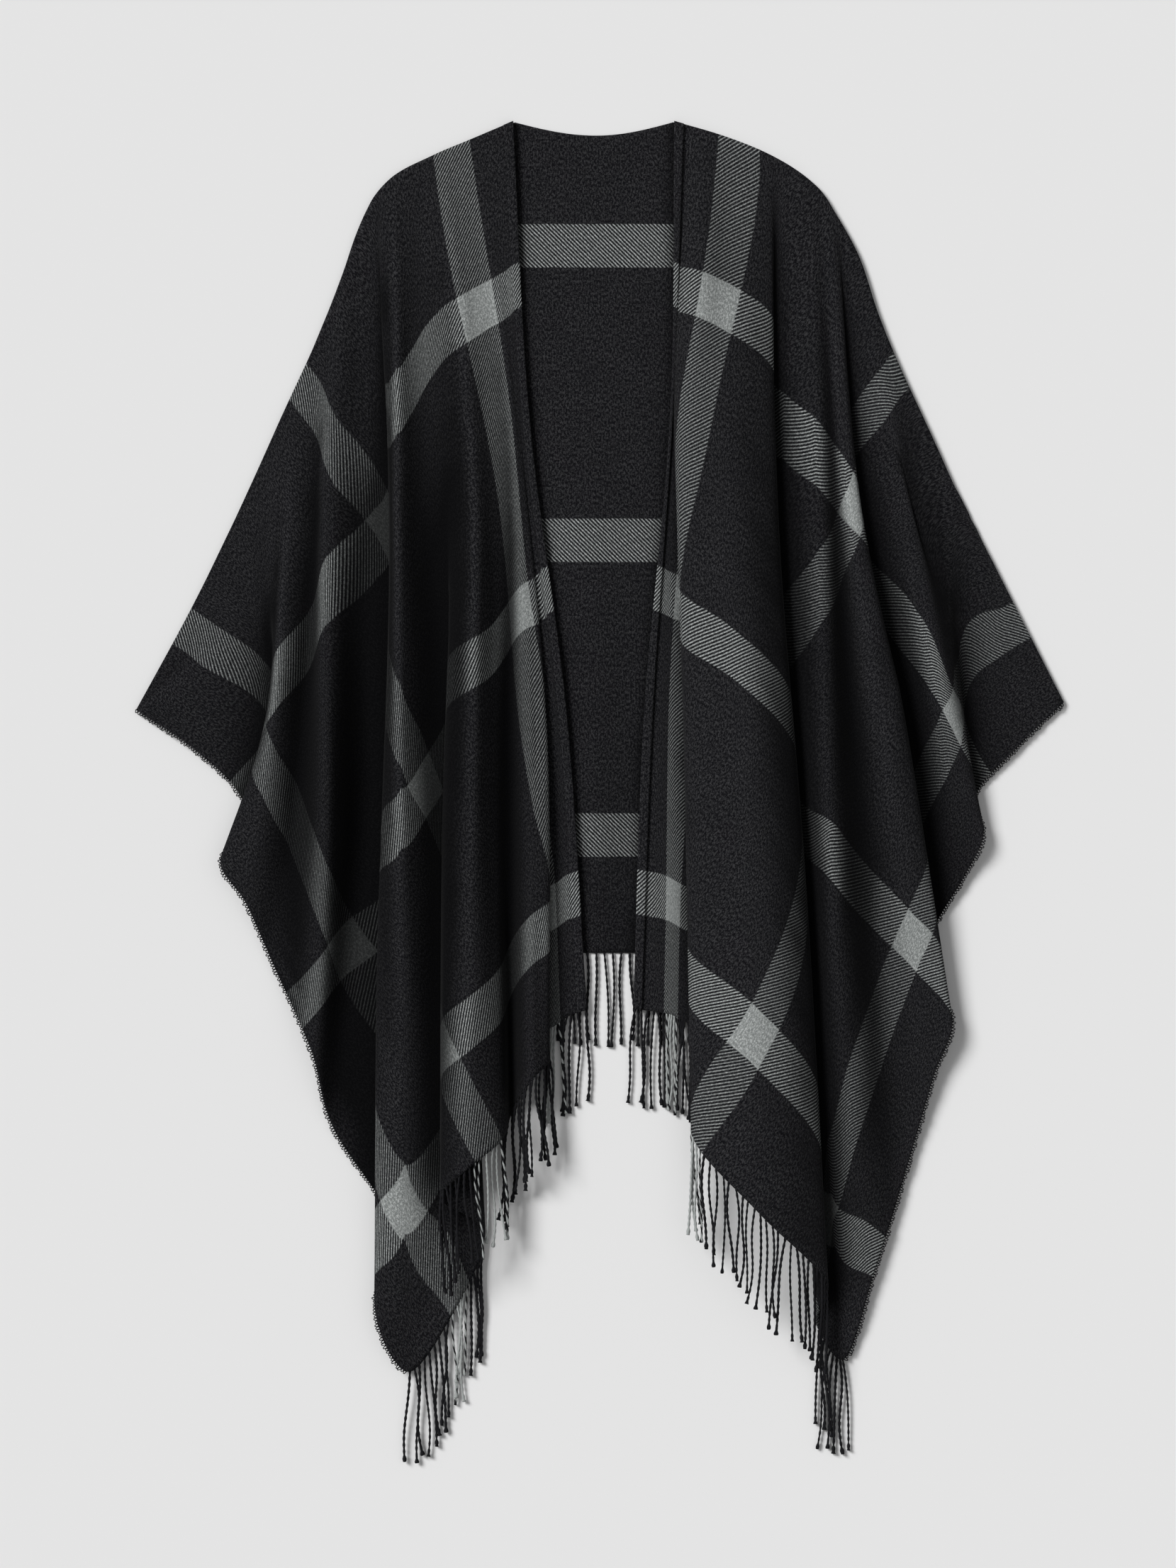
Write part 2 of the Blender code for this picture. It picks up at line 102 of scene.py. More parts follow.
# How far the sleeve side is drawn up between shoulder and hem, by u
LIFT_COLUMNS = ("u", "lift")
SLEEVE_LIFT = {
    "left": ((7.5, 0.0), (13.0, 0.0), (20.0, -1.8), (28.0, -1.2), (38.0, 0.0), (50.0, 0.0),
             (57.0, 1.0), (64.0, 2.0), (68.0, 3.0), (77.5, 4.6)),
    "right": ((7.5, 0.0), (13.0, 0.0), (19.0, -1.5), (27.0, -1.8), (34.0, -0.6), (42.0, 0.6),
              (50.0, 2.9), (55.0, 4.6), (77.5, 4.6)),
}

# Folds of each front, from the front edge outwards.
# u_top: where the fold leaves the shoulder.  u_foot, v_foot: where it ends, on
# the hem or on the side edge.  bend: above 1, it keeps to the front edge first.
# out_1, out_2, out_foot: distance out from the centre line at one third, two
# thirds and the end of the fold.  z_mid, z_foot: its height half way and at
# its end.
FOLD_COLUMNS = ("name", "u_top", "u_foot", "v_foot", "bend",
                "out_1", "out_2", "out_foot", "z_mid", "z_foot")
FOLDS = {
    "left": (
        ("front edge", 7.5, 7.5, 79.75, 1.0, 6.1, 2.7, 0.85, 0.40, 0.40),
        ("hem seam", 8.4, 8.4, 79.75, 1.0, 6.7, 3.4, 1.7, 0.42, 0.42),
        ("strip", 9.0, 13.0, 79.75, 3.0, 6.85, 3.9, 3.7, 0.45, 0.50),
        ("tuck under third ridge", 9.5, 18.5, 79.75, 4.0, 6.95, 5.1, 5.6, 0.50, 0.60),
        ("third ridge, inner edge", 10.2, 24.0, 79.75, 5.0, 7.15, 4.6, 4.3, 0.70, 1.90),
        ("third ridge", 11.0, 27.5, 79.75, 4.2, 7.4, 5.9, 5.7, 1.00, 3.00),
        ("second valley", 12.5, 35.0, 79.75, 2.5, 8.7, 8.4, 7.9, 0.60, 0.70),
        ("second ridge, inner edge", 13.7, 38.9, 79.75, 2.2, 9.9, 9.6, 8.6, 1.60, 2.40),
        ("second ridge", 15.0, 44.0, 79.75, 2.2, 11.1, 11.2, 11.6, 3.20, 4.00),
        ("second ridge, outer edge", 16.3, 49.0, 79.75, 2.2, 12.5, 13.5, 14.1, 2.00, 2.60),
        ("tuck under second ridge", 17.2, 60.0, 79.75, 1.65, 14.2, 11.8, 10.2, 0.80, 0.80),
        ("first ridge, inner side", 18.6, 69.0, 79.75, 1.25, 16.6, 14.7, 12.7, 2.20, 0.60),
        ("first ridge", 19.8, 77.5, 79.75, 1.25, 17.9, 17.6, 17.4, 4.60, 0.80),
        ("first ridge, outer edge", 20.8, 77.5, 72.4, 1.27, 18.7, 19.8, 20.2, 3.00, 1.60),
        ("tuck under first ridge", 22.3, 77.5, 66.7, 0.81, 17.6, 17.0, 17.3, 0.70, 0.60),
        ("valley beside first ridge", 24.0, 77.5, 61.0, 0.71, 19.9, 20.0, 20.5, 0.60, 0.50),
        ("outer valley", 26.0, 77.5, 55.0, 0.73, 21.6, 22.5, 24.0, 0.50, 0.50),
        ("outer ridge", 30.0, 77.5, 47.0, 0.80, 24.2, 24.5, 25.8, 3.00, 2.00),
        ("sleeve valley", 37.0, 77.5, 36.0, 0.80, 26.3, 27.4, 29.8, 1.00, 0.70),
        ("sleeve ridge", 42.0, 77.5, 29.0, 0.88, 28.5, 29.6, 32.1, 2.40, 1.50),
        ("sleeve ridge, outer edge", 45.0, 77.5, 23.7, 1.0, 29.2, 30.2, 34.3, 1.50, 1.60),
        ("tuck under sleeve ridge", 48.0, 77.5, 19.5, 1.0, 30.1, 29.2, 31.8, 0.70, 0.60),
        ("sleeve, inner", 52.0, 77.5, 14.5, 1.0, 31.4, 30.1, 32.7, 0.60, 0.50),
        ("sleeve, middle", 66.0, 77.5, 7.0, 1.0, 36.8, 37.4, 37.2, 0.80, 0.50),
        ("cuff", 77.4, 77.5, 0.3, 1.0, 42.1, 42.1, 42.1, 0.40, 0.40),
    ),
    "right": (
        ("front edge", 7.5, 7.5, 79.75, 1.0, 6.8, 4.4, 3.4, 0.40, 0.40),
        ("hem seam", 8.4, 8.4, 79.75, 1.0, 7.0, 5.2, 4.2, 0.42, 0.42),
        ("strip", 8.8, 18.5, 79.75, 2.3, 7.1, 7.0, 8.4, 0.45, 0.50),
        ("tuck under first ridge", 9.0, 29.0, 79.75, 2.3, 7.2, 9.4, 12.6, 0.60, 0.70),
        ("first ridge, inner edge", 9.3, 40.5, 79.75, 2.4, 7.4, 8.1, 8.7, 2.20, 2.60),
        ("first ridge", 13.0, 50.0, 79.75, 2.1, 10.9, 13.3, 14.6, 4.60, 4.20),
        ("first ridge, outer edge", 16.5, 60.0, 79.75, 1.5, 16.4, 18.8, 20.9, 3.20, 2.20),
        ("first valley", 17.5, 70.0, 79.75, 1.19, 15.7, 18.7, 20.2, 0.60, 0.60),
        ("second ridge, inner side", 18.7, 77.5, 79.75, 0.93, 17.2, 20.1, 22.7, 1.60, 0.50),
        ("second ridge", 21.0, 77.5, 71.0, 0.93, 20.4, 21.8, 25.4, 3.60, 0.90),
        ("second valley", 22.5, 77.5, 59.0, 0.95, 22.4, 24.8, 28.7, 1.80, 0.70),
        ("third ridge", 23.5, 77.5, 50.5, 1.0, 23.3, 27.0, 30.8, 3.40, 1.20),
        ("third ridge, outer edge", 24.5, 77.5, 43.4, 1.0, 24.2, 28.7, 32.4, 2.60, 1.60),
        ("tuck under third ridge", 26.0, 77.5, 38.8, 0.88, 23.3, 27.4, 29.8, 0.70, 0.60),
        ("outer valley", 29.0, 77.5, 32.8, 0.80, 24.8, 28.9, 31.2, 0.80, 0.60),
        ("sleeve ridge", 35.0, 77.5, 27.0, 0.80, 28.2, 31.0, 33.7, 2.40, 0.80),
        ("sleeve ridge, outer edge", 50.0, 77.5, 21.3, 0.77, 32.0, 33.4, 35.4, 1.60, 1.40),
        ("sleeve, inner", 53.0, 77.5, 17.0, 1.0, 32.6, 33.5, 34.6, 0.80, 0.60),
        ("sleeve, middle", 65.0, 77.5, 8.5, 1.0, 37.2, 37.1, 38.6, 0.80, 0.50),
        ("cuff", 77.4, 77.5, 0.3, 1.0, 42.8, 42.8, 42.8, 0.40, 0.40),
    ),
}
SHOULDER_HEIGHT = 0.40
EARLY_RISE = 0.44
LOWEST_FRONT = CLOTH_THICK + SEAM_GAP + CLOTH_THICK / 2
LIFT_SKEW = 0.8
SIDES = {"left": -1.0, "right": 1.0}

# Lower outline of the back: the half width of its hem on each side, how far down from the neck its hem
# lies, and how far its side stays inside the cuff
BACK_HEM_HALF = {"left": 12.0, "right": 14.0}
BACK_HEM_DOWN = 76.2
BACK_SIDE_INSET = 0.6

def smooth(x, knots, values):
    """Cubic curve through the knots, with slopes from its neighbours."""
    knots = np.asarray(knots, float)
    values = np.asarray(values, float)
    slopes = np.gradient(values, knots)
    x = np.clip(x, knots[0], knots[-1])
    k = np.clip(np.searchsorted(knots, x, side="right") - 1, 0, len(knots) - 2)
    span = knots[k + 1] - knots[k]
    t = (x - knots[k]) / span
    rise = values[k] * (2 * t**3 - 3 * t**2 + 1) + values[k + 1] * (3 * t**2 - 2 * t**3)
    lean = slopes[k] * (t**3 - 2 * t**2 + t) + slopes[k + 1] * (t**3 - t**2)
    return rise + span * lean


def table(rows, columns, name):
    return [row[columns.index(name)] for row in rows]


def fall(side, u, v):
    """Distance down from the neck of the point u, v of one front."""
    shoulder = SHOULDER[side]
    hem = HEM_FALL[side]
    lift = SLEEVE_LIFT[side]
    start = smooth(u, table(shoulder, SHOULDER_COLUMNS, "u"),
                   table(shoulder, SHOULDER_COLUMNS, "down"))
    end = smooth(u, table(hem, HEM_COLUMNS, "u"), table(hem, HEM_COLUMNS, "down"))
    drawn_up = np.interp(u, table(lift, LIFT_COLUMNS, "u"), table(lift, LIFT_COLUMNS, "lift"))
    share = v / FRONT_LENGTH
    return start + (end - start) * share - drawn_up * np.sin(math.pi * share**LIFT_SKEW)


def fold_line(side, fold, rows):
    """Flat and laid positions along one fold, from the shoulder to its end."""
    row = dict(zip(FOLD_COLUMNS, fold))
    shoulder = SHOULDER[side]
    s = np.linspace(0.0, 1.0, rows + 1)
    u = row["u_top"] + (row["u_foot"] - row["u_top"]) * s ** row["bend"]
    v = row["v_foot"] * s
    out_top = smooth(row["u_top"], table(shoulder, SHOULDER_COLUMNS, "u"),
                     table(shoulder, SHOULDER_COLUMNS, "out"))
    out = smooth(s, (0, 1 / 3, 2 / 3, 1), (out_top, row["out_1"], row["out_2"], row["out_foot"]))
    z_early = SHOULDER_HEIGHT + (row["z_mid"] - SHOULDER_HEIGHT) * EARLY_RISE
    z = smooth(s, (0, 0.25, 0.5, 1), (SHOULDER_HEIGHT, z_early, row["z_mid"], row["z_foot"]))
    flat = np.column_stack((u, v))
    laid = np.column_stack((out, -fall(side, u, v), z))
    return flat, laid


def front_grid(side, rows, steps):
    """Flat and laid points of a front, a column for each fold and step between."""
    lines = [fold_line(side, fold, rows) for fold in FOLDS[side]]
    flat = np.array([line[0] for line in lines])
    laid = np.array([line[1] for line in lines])
    gaps = np.linalg.norm(np.diff(flat, axis=0), axis=2)[..., None]
    gaps = np.maximum(gaps, 0.05)
    rates = np.diff(laid, axis=0) / gaps
    lean = np.empty_like(laid)
    lean[0] = rates[0]
    lean[-1] = rates[-1]
    lean[1:-1] = (rates[:-1] * gaps[1:] + rates[1:] * gaps[:-1]) / (gaps[1:] + gaps[:-1])
    flat_columns = []
    laid_columns = []
    for k in range(len(lines) - 1):
        for step in range(steps):
            t = step / steps
            flat_columns.append(flat[k] * (1 - t) + flat[k + 1] * t)
            point = laid[k] * (2 * t**3 - 3 * t**2 + 1) + laid[k + 1] * (3 * t**2 - 2 * t**3)
            point = point + gaps[k] * (lean[k] * (t**3 - 2 * t**2 + t) + lean[k + 1] * (t**3 - t**2))
            laid_columns.append(point)
    flat_columns.append(flat[-1])
    laid_columns.append(laid[-1])
    flat = np.array(flat_columns)
    laid = np.array(laid_columns)
    laid[..., 2] = np.maximum(laid[..., 2], LOWEST_FRONT)
    return flat, laid


def to_world(side, laid):
    """Side-neutral centimetres to metres in the part's frame."""
    world = np.array(laid, float)
    world[..., 0] = world[..., 0] * SIDES[side] + CENTRE_SHIFT
    world[..., 1] = world[..., 1] + NECK_TO_ORIGIN
    return world * CM


# Photo's frame: pixels, and centimetres of cloth to a pixel
PHOTO_WIDE = 1659
PHOTO_HIGH = 2212
CM_PER_PIXEL = 0.065
NECK_PIXEL = (841, 172)
CAMERA_HEIGHT = 4.0
SENSOR = 36.0

# Suns, each with its place, angular size in degrees and strength, and the floor
WORLD_LIGHT = 0.24
LAMPS = (
    ("key", (-1.9, 1.35, 1.95), 25.0, 3.30),
    ("fill", (1.2, -0.5, 2.6), 60.0, 0.20),
)
FLOOR_HALF = 6.0
FLOOR_COLOUR = (0.80, 0.80, 0.80, 1.0)

# Colours of the wool, and painted shade: how far a deep valley's colour is darkened towards a near-black,
# in place of the shade its folds cast
PAINTED_VALLEY_SHADE = 0.92
PAINTED_SHADE_COLOUR = (0.0015, 0.0015, 0.0018, 1.0)
DARK = (0.0042, 0.0042, 0.0054, 1.0)
DARK_NAP = (0.0450, 0.0450, 0.0475, 1.0)
LIGHT = (0.440, 0.460, 0.452, 1.0)
LIGHT_NAP = (0.190, 0.202, 0.198, 1.0)

# Fine lofts of the cloth
FINE_ROWS = 230
FINE_STEPS = 7
BACK_FINE_COLUMNS = 170
BACK_FINE_ROWS = 150
CREASE_HEIGHT = 0.13

# Thickness of the scene's cloth and hem, as a share of the solids'
CLOTH_SHELL = 0.9
HEM_SHELL = 0.8

# Weave, in centimetres
CHECK_PITCH = 27.3
STRIPE_HALF = 2.0
BACK_STRETCH = 1.011
FIRST_ACROSS = 14.65
BACK_STRIPE_SHIFT = 1.15
TWILL_PITCH = 0.38

# Sharpness of stripe and twill edges, where each thread floats on the face, how pale
# the warp is beside the weft, and the haze of loose fibre over the dark lines
STRIPE_EDGE = 9.0
TWILL_EDGE = 9.0
WARP_FLOATS = 5.30
WEFT_FLOATS = 4.10
WARP_PALE = 0.72
STRIPE_HAZE = 0.01

# Fringe, in centimetres
YARN_PITCH = 0.78
YARN_RADIUS = 0.115
YARN_TWIST = 0.62
YARN_RINGS = 62
YARN_SIDES = 8
TUFT = 0.75
LOOP_PITCH = 0.27
LOOP_REACH = (0.22, 0.42)
LOOP_RADIUS = 0.045
LOOP_RINGS = 6

# Stretches of hem whose strands are made: first u, last u, and the share of the
# hem's height left at the tips
YARNS = {
    "left": ((7.6, 15.5, 0.45), (21.5, 34.0, 0.75), (36.0, 51.5, 0.80), (62.0, 77.4, 0.40)),
    "right": ((7.6, 20.5, 0.45), (39.5, 61.0, 0.85), (71.0, 77.4, 0.40)),
}


def place_camera():
    scene = bpy.context.scene
    data = bpy.data.cameras.new("camera")
    camera = bpy.data.objects.new("camera", data)
    scene.collection.objects.link(camera)
    across = (PHOTO_WIDE / 2 - NECK_PIXEL[0]) * CM_PER_PIXEL + CENTRE_SHIFT
    up = NECK_TO_ORIGIN - (PHOTO_HIGH / 2 - NECK_PIXEL[1]) * CM_PER_PIXEL
    camera.location = (across * CM, up * CM, CAMERA_HEIGHT)
    data.sensor_width = SENSOR
    data.lens = SENSOR * CAMERA_HEIGHT / (PHOTO_HIGH * CM_PER_PIXEL * CM)
    data.clip_end = 50.0
    scene.camera = camera


def place_lights():
    scene = bpy.context.scene
    scene.view_settings.view_transform = "Standard"
    world = bpy.data.worlds.new("studio")
    world.use_nodes = True
    world.node_tree.nodes["Background"].inputs["Color"].default_value = (1.0, 1.0, 1.0, 1.0)
    world.node_tree.nodes["Background"].inputs["Strength"].default_value = WORLD_LIGHT
    scene.world = world
    for name, place, size, power in LAMPS:
        data = bpy.data.lights.new(name, "SUN")
        data.angle = math.radians(size)
        data.energy = power
        lamp = bpy.data.objects.new(name, data)
        scene.collection.objects.link(lamp)
        lamp.location = place
        direction = -np.array(place)
        lamp.rotation_euler = (
            math.atan2(math.hypot(direction[0], direction[1]), -direction[2]),
            0.0,
            math.atan2(direction[0], -direction[1]) + math.pi,
        )


def place_floor():
    mesh = bpy.data.meshes.new("floor")
    half = FLOOR_HALF
    corners = [(-half, -half, 0), (half, -half, 0), (half, half, 0), (-half, half, 0)]
    mesh.from_pydata(corners, [], [(0, 1, 2, 3)])
    floor = bpy.data.objects.new("floor", mesh)
    bpy.context.scene.collection.objects.link(floor)
    material = bpy.data.materials.new("floor")
    material.use_nodes = True
    shader = material.node_tree.nodes["Principled BSDF"]
    shader.inputs["Base Color"].default_value = FLOOR_COLOUR
    shader.inputs["Roughness"].default_value = 0.9
    shader.inputs["Specular IOR Level"].default_value = 0.1
    mesh.materials.append(material)


class Nodes:
    """Short calls that add shader nodes to a material's tree."""

    def __init__(self, name):
        self.material = bpy.data.materials.new(name)
        self.material.use_nodes = True
        self.tree = self.material.node_tree
        self.shader = self.tree.nodes["Principled BSDF"]

    def feed(self, socket, value):
        if isinstance(value, (int, float, tuple)):
            socket.default_value = value
        else:
            self.tree.links.new(value, socket)

    def math(self, kind, first, second=0.0, third=0.0, clamp=False):
        node = self.tree.nodes.new("ShaderNodeMath")
        node.operation = kind
        node.use_clamp = clamp
        self.feed(node.inputs[0], first)
        self.feed(node.inputs[1], second)
        self.feed(node.inputs[2], third)
        return node.outputs[0]

    def mix(self, share, first, second):
        node = self.tree.nodes.new("ShaderNodeMix")
        node.data_type = "RGBA"
        self.feed(node.inputs["Factor"], share)
        for socket in node.inputs:
            if socket.type == "RGBA" and socket.name == "A":
                self.feed(socket, first)
            if socket.type == "RGBA" and socket.name == "B":
                self.feed(socket, second)
        for socket in node.outputs:
            if socket.type == "RGBA":
                return socket
        return node.outputs[0]

    def noise(self, vector, scale, detail=2.0, rough=0.5):
        node = self.tree.nodes.new("ShaderNodeTexNoise")
        node.inputs["Scale"].default_value = scale
        node.inputs["Detail"].default_value = detail
        node.inputs["Roughness"].default_value = rough
        self.feed(node.inputs["Vector"], vector)
        return node.outputs[0]

    def attribute(self, name):
        node = self.tree.nodes.new("ShaderNodeAttribute")
        node.attribute_name = name
        return node

    def split(self, vector):
        node = self.tree.nodes.new("ShaderNodeSeparateXYZ")
        self.feed(node.inputs[0], vector)
        return node.outputs

    def join(self, x, y, z=0.0):
        node = self.tree.nodes.new("ShaderNodeCombineXYZ")
        self.feed(node.inputs[0], x)
        self.feed(node.inputs[1], y)
        self.feed(node.inputs[2], z)
        return node.outputs[0]

    def bump(self, height, distance, strength):
        node = self.tree.nodes.new("ShaderNodeBump")
        node.inputs["Strength"].default_value = strength
        node.inputs["Distance"].default_value = distance
        self.feed(node.inputs["Height"], height)
        self.tree.links.new(node.outputs[0], self.shader.inputs["Normal"])


def weave_material():
    """Charcoal twill with pale threads in stripes both ways, brushed on its face, with painted shade
    darkening its fold valleys.
    """
    nodes = Nodes("brushed twill")
    cloth = nodes.attribute("cloth").outputs["Vector"]
    along_x, along_w, depth = nodes.split(cloth)
    cloth = nodes.join(along_x, along_w)
    wander = nodes.noise(cloth, 0.9, 2.0)
    wander = nodes.math("MULTIPLY_ADD", wander, 0.10, -0.05)

    def stripe(coordinate, offset):
        shifted = nodes.math("ADD", coordinate, offset)
        far = nodes.math("PINGPONG", shifted, CHECK_PITCH / 2)
        far = nodes.math("ADD", far, wander)
        inside = nodes.math("SUBTRACT", STRIPE_HALF, far)
        return nodes.math("MULTIPLY_ADD", inside, STRIPE_EDGE, 0.5, clamp=True)

    warp = stripe(along_x, CHECK_PITCH / 2)
    weft = stripe(along_w, FIRST_ACROSS)
    diagonal = nodes.math("SUBTRACT", along_x, along_w)
    diagonal = nodes.math("ADD", diagonal, nodes.math("MULTIPLY", wander, 0.8))
    wave = nodes.math("PINGPONG", diagonal, TWILL_PITCH / 2)
    wave = nodes.math("DIVIDE", wave, TWILL_PITCH / 2)
    speck = nodes.noise(cloth, 13.0, 2.0, 0.6)
    ragged = nodes.math("MULTIPLY_ADD", speck, 0.50, -0.25)
    wave = nodes.math("ADD", wave, ragged)
    face = nodes.math("MULTIPLY_ADD", wave, TWILL_EDGE, -WARP_FLOATS, clamp=True)
    back_face = nodes.math("MULTIPLY_ADD", wave, -TWILL_EDGE, WEFT_FLOATS, clamp=True)
    warp_seen = nodes.math("MULTIPLY", warp, face)
    weft_seen = nodes.math("MULTIPLY", weft, back_face)
    both = nodes.math("MULTIPLY", warp, weft)
    only_warp = nodes.math("MULTIPLY", warp_seen, WARP_PALE)
    pale = nodes.math("ADD", only_warp, weft_seen, clamp=True)
    pale = nodes.math("MAXIMUM", pale, both)
    haze = nodes.math("MULTIPLY", nodes.math("MAXIMUM", warp, weft), STRIPE_HAZE)
    pale = nodes.math("MAXIMUM", pale, haze)
    fibre_place = nodes.join(nodes.math("MULTIPLY", along_x, 6.4), nodes.math("MULTIPLY", along_w, 3.6))
    fibre = nodes.noise(fibre_place, 1.0, 3.0, 0.85)
    fibre = nodes.math("MULTIPLY_ADD", fibre, 7.5, -3.50, clamp=True)
    patch = nodes.noise(cloth, 0.35, 3.0, 0.5)
    patch = nodes.math("MULTIPLY_ADD", patch, 0.5, 0.55)
    fibre_dark = nodes.math("MULTIPLY", fibre, patch)
    dark = nodes.mix(fibre_dark, DARK, DARK_NAP)
    light = nodes.mix(fibre, LIGHT_NAP, LIGHT)
    colour = nodes.mix(pale, dark, light)
    # Painted shade: the colour is darkened towards a near-black where the folds' ridges rise around the
    # point
    colour = nodes.mix(nodes.math("MULTIPLY", depth, PAINTED_VALLEY_SHADE), colour, PAINTED_SHADE_COLOUR)
    nodes.tree.links.new(colour, nodes.shader.inputs["Base Color"])
    finish_wool(nodes)
    relief = nodes.math("MULTIPLY", wave, 0.5)
    nap = nodes.noise(cloth, 22.0, 3.0, 0.7)
    relief = nodes.math("MULTIPLY_ADD", nap, 0.8, relief)
    nodes.bump(relief, 0.0003, 0.35)
    return nodes.material


def finish_wool(nodes):
    nodes.shader.inputs["Roughness"].default_value = 0.95
    nodes.shader.inputs["Specular IOR Level"].default_value = 0.04
    nodes.shader.inputs["Sheen Weight"].default_value = 0.04
    nodes.shader.inputs["Sheen Roughness"].default_value = 0.5


def yarn_material():
    """Twisted yarn: the ply and the strand's own share of pale wool set its colour."""
    nodes = Nodes("twisted yarn")
    pale_x, ply, along = nodes.split(nodes.attribute("cloth").outputs["Vector"])
    two_tone = nodes.math("MULTIPLY_ADD", ply, 6.0, -2.5, clamp=True)
    mixed = nodes.math("COMPARE", pale_x, 0.5, 0.2)
    pure = nodes.math("GREATER_THAN", pale_x, 0.75)
    pale = nodes.math("MAXIMUM", nodes.math("MULTIPLY", mixed, two_tone), pure)
    round_ply = nodes.math("MULTIPLY", ply, 3.0)
    fibre_place = nodes.join(round_ply, nodes.math("MULTIPLY", along, 22.0), pale_x)
    fibre = nodes.noise(fibre_place, 1.0, 3.0, 0.7)
    dark = nodes.mix(nodes.math("MULTIPLY", fibre, 0.3), DARK, DARK_NAP)
    light = nodes.mix(fibre, LIGHT_NAP, LIGHT)
    colour = nodes.mix(pale, dark, light)
    nodes.tree.links.new(colour, nodes.shader.inputs["Base Color"])
    finish_wool(nodes)
    nodes.bump(fibre, 0.0004, 0.5)
    return nodes.material


def value_noise(x, y, seed):
    """Smooth noise from -1 to 1 on a unit lattice."""
    lattice = np.random.default_rng(seed).uniform(-1, 1, (256, 256))
    x0 = np.floor(x).astype(int)
    y0 = np.floor(y).astype(int)
    fx = x - x0
    fy = y - y0
    fx = fx * fx * (3 - 2 * fx)
    fy = fy * fy * (3 - 2 * fy)
    a = lattice[x0 % 256, y0 % 256]
    b = lattice[(x0 + 1) % 256, y0 % 256]
    c = lattice[x0 % 256, (y0 + 1) % 256]
    d = lattice[(x0 + 1) % 256, (y0 + 1) % 256]
    return (a * (1 - fx) + b * fx) * (1 - fy) + (c * (1 - fx) + d * fx) * fy


def mesh_from(name, points, faces, cloth, material):
    mesh = bpy.data.meshes.new(name)
    mesh.from_pydata([tuple(p) for p in points.tolist()], [], faces)
    layer = mesh.attributes.new("cloth", "FLOAT_VECTOR", "POINT")
    layer.data.foreach_set("vector", np.ascontiguousarray(cloth, dtype=np.float32).ravel())
    mesh.materials.append(material)
    mesh.shade_smooth()
    piece = bpy.data.objects.new(name, mesh)
    bpy.context.scene.collection.objects.link(piece)
    return piece


def grid_faces(columns, rows):
    index = np.arange(columns * rows).reshape(columns, rows)
    corners = (index[:-1, :-1], index[:-1, 1:], index[1:, 1:], index[1:, :-1])
    return np.stack([c.ravel() for c in corners], axis=1).tolist()


def sheet_piece(name, flat, world, cloth, thickness, material):
    columns, rows = flat.shape[:2]
    piece = mesh_from(name, world.reshape(-1, 3), grid_faces(columns, rows), cloth.reshape(-1, 3), material)
    solid = piece.modifiers.new("thickness", "SOLIDIFY")
    solid.thickness = thickness * CM
    solid.offset = 0.0
    return piece


def cloth_coordinates(side, flat):
    cloth = np.zeros(flat.shape[:2] + (3,))
    cloth[..., 0] = flat[..., 0] * SIDES[side]
    cloth[..., 1] = -flat[..., 1]
    return cloth


def evened(depth):
    """Painted shade averaged with the neighbours, to hide the steps of the height map."""
    for axis, times in ((0, 2), (1, 6)):
        for _ in range(times):
            before = np.take(depth, range(-1, depth.shape[axis] - 1), axis=axis, mode="clip")
            after = np.take(depth, range(1, depth.shape[axis] + 1), axis=axis, mode="clip")
            depth = (before + 2 * depth + after) / 4
    return depth


class HeightMap:
    """Height of the cloth seen from above, and the painted shade each point gets from the rises around it.
    """

    CELL = 0.30
    HALF = 66.0
    # Reach and weights of the painted shade: a point closed in on both sides, a point beside one rise, and
    # a point on the inward side of a ridge
    REACH = 8.0
    CLOSED_IN = 2.1
    ONE_SIDE = 0.35
    BEHIND_RIDGE = 1.4

    def __init__(self, sheets):
        count = int(2 * self.HALF / self.CELL)
        self.heights = np.zeros((count, count))
        for world in sheets:
            points = world.reshape(-1, 3) / CM
            i, j = self.cells(points)
            np.maximum.at(self.heights, (i, j), points[:, 2])
        grown = self.heights.copy()
        for step_i in (-1, 0, 1):
            for step_j in (-1, 0, 1):
                grown = np.maximum(grown, np.roll(self.heights, (step_i, step_j), (0, 1)))
        holes = self.heights < 0.02
        self.heights[holes] = grown[holes]

    def cells(self, points):
        count = int(2 * self.HALF / self.CELL)
        i = np.clip(((points[:, 0] + self.HALF) / self.CELL).astype(int), 0, count - 1)
        j = np.clip(((points[:, 1] + self.HALF) / self.CELL).astype(int), 0, count - 1)
        return i, j

    def horizon(self, points, way):
        """Sine of the steepest rise seen from each point, towards +X or -X."""
        i, j = self.cells(points)
        steepest = np.zeros(len(points))
        last = len(self.heights) - 1
        for step in range(1, int(self.REACH / self.CELL)):
            rise = self.heights[np.clip(i + way * step, 0, last), j] - points[:, 2]
            steepest = np.maximum(steepest, rise / (step * self.CELL))
        return steepest / np.sqrt(1 + steepest**2)

    def depth(self, world):
        points = world.reshape(-1, 3) / CM
        left = self.horizon(points, -1)
        right = self.horizon(points, 1)
        inward = np.where(points[:, 0] < CENTRE_SHIFT, right, left)
        # Painted shade: darker where rises close the point in, and darker still on the inward side of a
        # ridge
        closed = self.CLOSED_IN * left * right + self.ONE_SIDE * np.maximum(left, right) ** 3
        closed = closed + self.BEHIND_RIDGE * inward**2
        return evened(np.clip(closed, 0, 1).reshape(world.shape[:2]))


